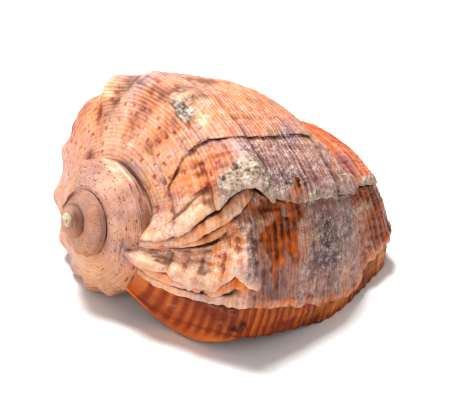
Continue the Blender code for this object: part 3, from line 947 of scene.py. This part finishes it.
# Each tone is a first colour with coats over it. A coat is a colour or another tone, and what its
# share is multiplied from: numbers, patterns, and patterns with the two values that become 0 and 1.
tones = {
    "flareTone": ["flare", ("orange", ["stripes"])],
    "dustTone": ["mauve", ("chalk", [0.5])],
    "purpleTone": ["mauve", ("slate", [("blotch", 0.4, 0.6)]), ("slate", [("purple", 0.75, 1.0)])],
    "amberTone": [
        "amberStripe",
        ("amber", [("stripes", 0.35, 0.75)]),
        ("orange", [("amberGlow", 0.45, 0.7), 0.7]),
    ],
    "newLight": ["orange", ("sand", ["blotch"])],
    "newTone": [
        "newOrange",
        ("newStripe", ["stripes", ("threadDrift", 0.3, 0.7)]),
        ("stain", [("newStains", 0.48, 0.66), 0.8]),
        ("newLight", [("newLights", 0.52, 0.68), 0.65]),
    ],
    "crustTone": ["crustPit", ("crust", [("cells", 0.25, 0.6)]), ("chalk", [("grit", 0.45, 0.7)])],
    "rustTone": ["orange", ("underside", [("rustFlecks", 0.42, 0.60)])],
    # painted shade on the folds' steep faces, with stains in it
    "faceTone": ["underside", ("stain", [("faceStains", 0.40, 0.62)])],
    # painted shade in hollows
    "hollowTone": ["stain", ("crustPit", [("blotch", 0.4, 0.6)])],
    "shellTone": [
        "peach",
        ("rose", [("blotch", 0.35, 0.65)]),
        ("pale", [("paleClouds", 0.45, 0.75), 0.7]),
        ("sand", [("sandClouds", 0.48, 0.62), 0.55]),
        ("lavender", [("lavenderClouds", 0.50, 0.64), 0.50]),
        ("orange", ["orange", ("orangeClouds", 0.25, 0.60)]),
        ("flareTone", ["flare", ("flareClouds", 0.20, 0.60)]),
        ("rose", [("growthLines", 0.50, 0.75), 0.35]),
        ("dash", [("threads", 1.0, 0.0), "threadColour"]),
        ("dustTone", [("dustClouds", 0.50, 0.68), ("fine", 0.35, 0.6), 0.5]),
        ("stain", [("grimeClouds", 0.48, 0.70), ("grit", 0.35, 0.60), 0.42]),
        ("dash", [("dashLengths", 0.55, 0.66), ("dashSides", 0.2, -0.5), "dashes", 0.85]),
        ("purpleTone", ["purple", ("purpleClouds", 0.25, 0.55), 0.80]),
        ("amberTone", ["amber", ("amberClouds", 0.25, 0.42)]),
        ("newTone", ["newBand"]),
        ("slate", [("streaks", 0.52, 0.66), ("streakGaps", 0.35, 0.60), "greyness"]),
        ("stain", ["stain", ("fine", 0.2, 0.5)]),
        ("cream", ["cream", ("creamFlakes", 0.22, 0.52)]),
        # dark spots, and painted shade in the hollow under the arch
        ("groove", ["darkSpotsAndShade"]),
        ("chalk", ["chalk", ("powder", 0.98, 1.14), 0.62]),
        ("crustTone", ["crusted"]),
        ("pale", ["crest", ("crestChips", 0.40, 0.95)]),
        ("rustTone", ["rust", 0.9]),
        # painted shade on the folds' steep faces
        ("faceTone", ["wall", ("faceGaps", 0.2, 0.45)]),
        # painted shade in front of the folds and in the crease, with the dark suture lines
        ("groove", [("shade", 0.20, 0.75)]),
        # painted shade in hollows and painted light on ridges
        ("hollowTone", [("relief", -0.1, -1.0), 0.70]),
        ("pale", [("relief", 0.15, 1.0), 0.32, ("purple", 0.9, 0.4), ("fine", 0.3, 0.6)]),
    ],
    "mouthTone": ["glaze", ("glazePale", [("glazeClouds", 0.35, 0.7)])],
    "wholeShell": ["mouthTone", ("shellTone", [("outside", 0.2, 0.8)])],
}


def shareOf(tree, patterns, factors):
    product = None
    for factor in factors:
        if isinstance(factor, tuple):
            name, low, high = factor
            factor = addNode(tree, "ShaderNodeMapRange", patterns[name], low, high, 0.0, 1.0)
        elif isinstance(factor, str):
            factor = patterns[factor]
        if product is None:
            product = factor
        else:
            product = addNode(tree, "ShaderNodeMath", product, factor, operation="MULTIPLY")
    return product


def layCoats(tree, patterns, name):
    if name in shellColours:
        return linearColour(shellColours[name])
    first, *coats = tones[name]
    laid = layCoats(tree, patterns, first)
    for tone, factors in coats:
        share = shareOf(tree, patterns, factors)
        coat = layCoats(tree, patterns, tone)
        laid = addNode(tree, "ShaderNodeMix", {0: share, 6: laid, 7: coat}, data_type="RGBA")
    return laid


def shellPatterns(tree):
    place = addNode(tree, "ShaderNodeTexCoord").outputs["Object"]
    patterns = {}
    for name in chartMarks:
        patterns[name] = addNode(tree, "ShaderNodeAttribute", attribute_name=name).outputs["Fac"]
    along = patterns["along"]
    shifted = addNode(tree, "ShaderNodeVectorMath", place, lavenderShift, operation="ADD")
    for name, (size, detail, rough) in grains.items():
        at = shifted if name == "lavenderClouds" else place
        feeds = {"Vector": at, "Scale": 1000.0 / size, "Detail": detail, "Roughness": rough}
        patterns[name] = addNode(tree, "ShaderNodeTexNoise", feeds).outputs["Fac"]

    for name, (count, bend, reach, low, high) in spirals.items():
        wave = addNode(tree, "ShaderNodeMath", along, count * math.tau, operation="MULTIPLY")
        wave = addNode(tree, "ShaderNodeMath", patterns[bend], reach, wave, operation="MULTIPLY_ADD")
        wave = addNode(tree, "ShaderNodeMath", wave, operation="COSINE")
        patterns[name] = addNode(tree, "ShaderNodeMapRange", wave, low, high, 0.0, 1.0)

    # red-brown dashes lie in rows, each row broken on its own
    dashRows = shellSurface["dashRows"]
    wobble = shellSurface["dashWobble"]
    bent = addNode(tree, "ShaderNodeMath", patterns["wobble"], wobble, along, operation="MULTIPLY_ADD")
    dashRow = addNode(tree, "ShaderNodeMath", bent, dashRows, operation="MULTIPLY")
    dashRow = addNode(tree, "ShaderNodeMath", dashRow, operation="FLOOR")
    dashSide = addNode(tree, "ShaderNodeMath", bent, dashRows * math.tau, operation="MULTIPLY")
    patterns["dashSides"] = addNode(tree, "ShaderNodeMath", dashSide, operation="COSINE")
    for name, (perTurn, perSection, detail, rough) in drawn.items():
        across = dashRow if name == "dashLengths" else along
        x = addNode(tree, "ShaderNodeMath", patterns["turn"], perTurn, operation="MULTIPLY")
        y = addNode(tree, "ShaderNodeMath", across, perSection, operation="MULTIPLY")
        at = addNode(tree, "ShaderNodeCombineXYZ", x, y, 0.0)
        feeds = {"Vector": at, "Scale": 1.0, "Detail": detail, "Roughness": rough}
        patterns[name] = addNode(tree, "ShaderNodeTexNoise", feeds).outputs["Fac"]

    feeds = {"Vector": place, "Scale": 1000.0 / shellSurface["pitSize"]}
    patterns["cells"] = addNode(tree, "ShaderNodeTexVoronoi", feeds).outputs["Distance"]
    patterns["powder"] = addNode(tree, "ShaderNodeMath", patterns["fine"], patterns["speck"], operation="ADD")
    patterns["crustEdge"] = addNode(
        tree, "ShaderNodeMath", patterns["fine"], 0.9, patterns["crust"], operation="MULTIPLY_ADD",
    )
    patterns["crusted"] = shareOf(tree, patterns, [("crustEdge", 0.66, 1.05), 0.85])
    patterns["pits"] = shareOf(tree, patterns, ["crusted", "cells"])
    # streaks are strongest where the shell is grey
    patterns["greyness"] = addNode(
        tree, "ShaderNodeMath", patterns["purple"], 0.55, 0.30, operation="MULTIPLY_ADD",
    )
    for name in ["threadColour", "threadRelief"]:
        patterns[name] = addNode(
            tree, "ShaderNodeMapRange", along, *shellSurface["shoulder"], *shellSurface[name],
        )
    return patterns


def shellFinish():
    # Weathered sea shell: layered aragonite that grew at the lip, chalky where worn by sand,
    # glassy orange inside the mouth. It gives fine spiral threads, blotches and white specks.
    # The fine grain and specks of a real one are smaller, and are drawn as coarse as they show.
    material = bpy.data.materials.new("weathered shell")
    material.use_nodes = True
    tree = material.node_tree
    finish = tree.nodes["Principled BSDF"]
    patterns = shellPatterns(tree)
    base = layCoats(tree, patterns, "wholeShell")
    tree.links.new(base.outputs[2], finish.inputs["Base Color"])

    rough = addNode(tree, "ShaderNodeMapRange", patterns["fine"], 0.2, 0.8, *shellSurface["roughness"])
    rough = addNode(
        tree, "ShaderNodeMix", {0: patterns["amber"], 2: rough, 3: shellSurface["amberRoughness"]},
        data_type="FLOAT",
    )
    rough = addNode(
        tree, "ShaderNodeMix", {0: patterns["outside"], 2: shellSurface["glazeRoughness"], 3: rough},
        data_type="FLOAT",
    )
    tree.links.new(rough.outputs[0], finish.inputs["Roughness"])
    finish.inputs["IOR"].default_value = shellSurface["ior"]
    finish.inputs["Specular IOR Level"].default_value = shellSurface["specular"]

    height = shareOf(tree, patterns, ["threads", "threadRelief"])
    for name, amount in shellSurface["reliefs"]:
        height = addNode(tree, "ShaderNodeMath", patterns[name], amount, height, operation="MULTIPLY_ADD")
    height = addNode(tree, "ShaderNodeMath", height, patterns["outside"], operation="MULTIPLY")
    depth, strength = shellSurface["bumpDepth"], shellSurface["bumpStrength"]
    bump = addNode(tree, "ShaderNodeBump", {"Height": height, "Strength": strength, "Distance": depth})
    tree.links.new(bump.outputs[0], finish.inputs["Normal"])
    print("shell finish mixed")
    return material


def makeShell():
    material = shellFinish()
    shell = bpy.data.objects.new("whelk_shell", makeChart())
    bpy.context.collection.objects.link(shell)
    outlines = {
        "Lip Outline": outlineObject("lip outline", lipOutline),
        "Axis Outline": outlineObject("axis outline", axisOutline),
        "Pillar Outline": outlineObject("pillar outline", pillarOutline),
    }
    tree = coilTree(material)
    modifier = shell.modifiers.new("coil", "NODES")
    modifier.node_group = tree
    values = {
        **outlines,
        "Length": coil["length"], "Growth": coil["growth"], "Wall": coil["wall"],
        "Lip Angle": coil["lipAngle"], "Cord Count": float(ribs["cordCount"]),
        "Cord Height": ribs["cordHeight"], "Knob Spacing": ribs["knobSpacing"],
        "Knob Start": ribs["knobStart"], "Knob Height": ribs["knobHeight"],
        "Knob Length": ribs["knobLength"], "Knob Along": ribs["knobAlong"],
        "Knob Width": ribs["knobWidth"],
    }
    for socket in tree.interface.items_tree:
        if socket.in_out == "INPUT" and socket.name in values:
            modifier[socket.identifier] = values[socket.name]
    graph = bpy.context.evaluated_depsgraph_get()
    coiled = bpy.data.meshes.new_from_object(shell.evaluated_get(graph))
    shell.modifiers.clear()
    shell.data = coiled
    for outline in outlines.values():
        bpy.data.objects.remove(outline, do_unlink=True)
    tipped = Euler((math.radians(coil["restRoll"]), math.radians(coil["apexRaise"]), 0.0), "XYZ")
    coiled.transform(Matrix.Translation(coil["apexPlace"]) @ tipped.to_matrix().to_4x4())
    for point in coiled.vertices:
        point.co.z = max(point.co.z, 0.0)  # worn flat where it rests
    print("shell coiled:", len(coiled.polygons), "faces")
    return shell


shell = makeShell()
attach(shell, "root")
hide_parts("shell")
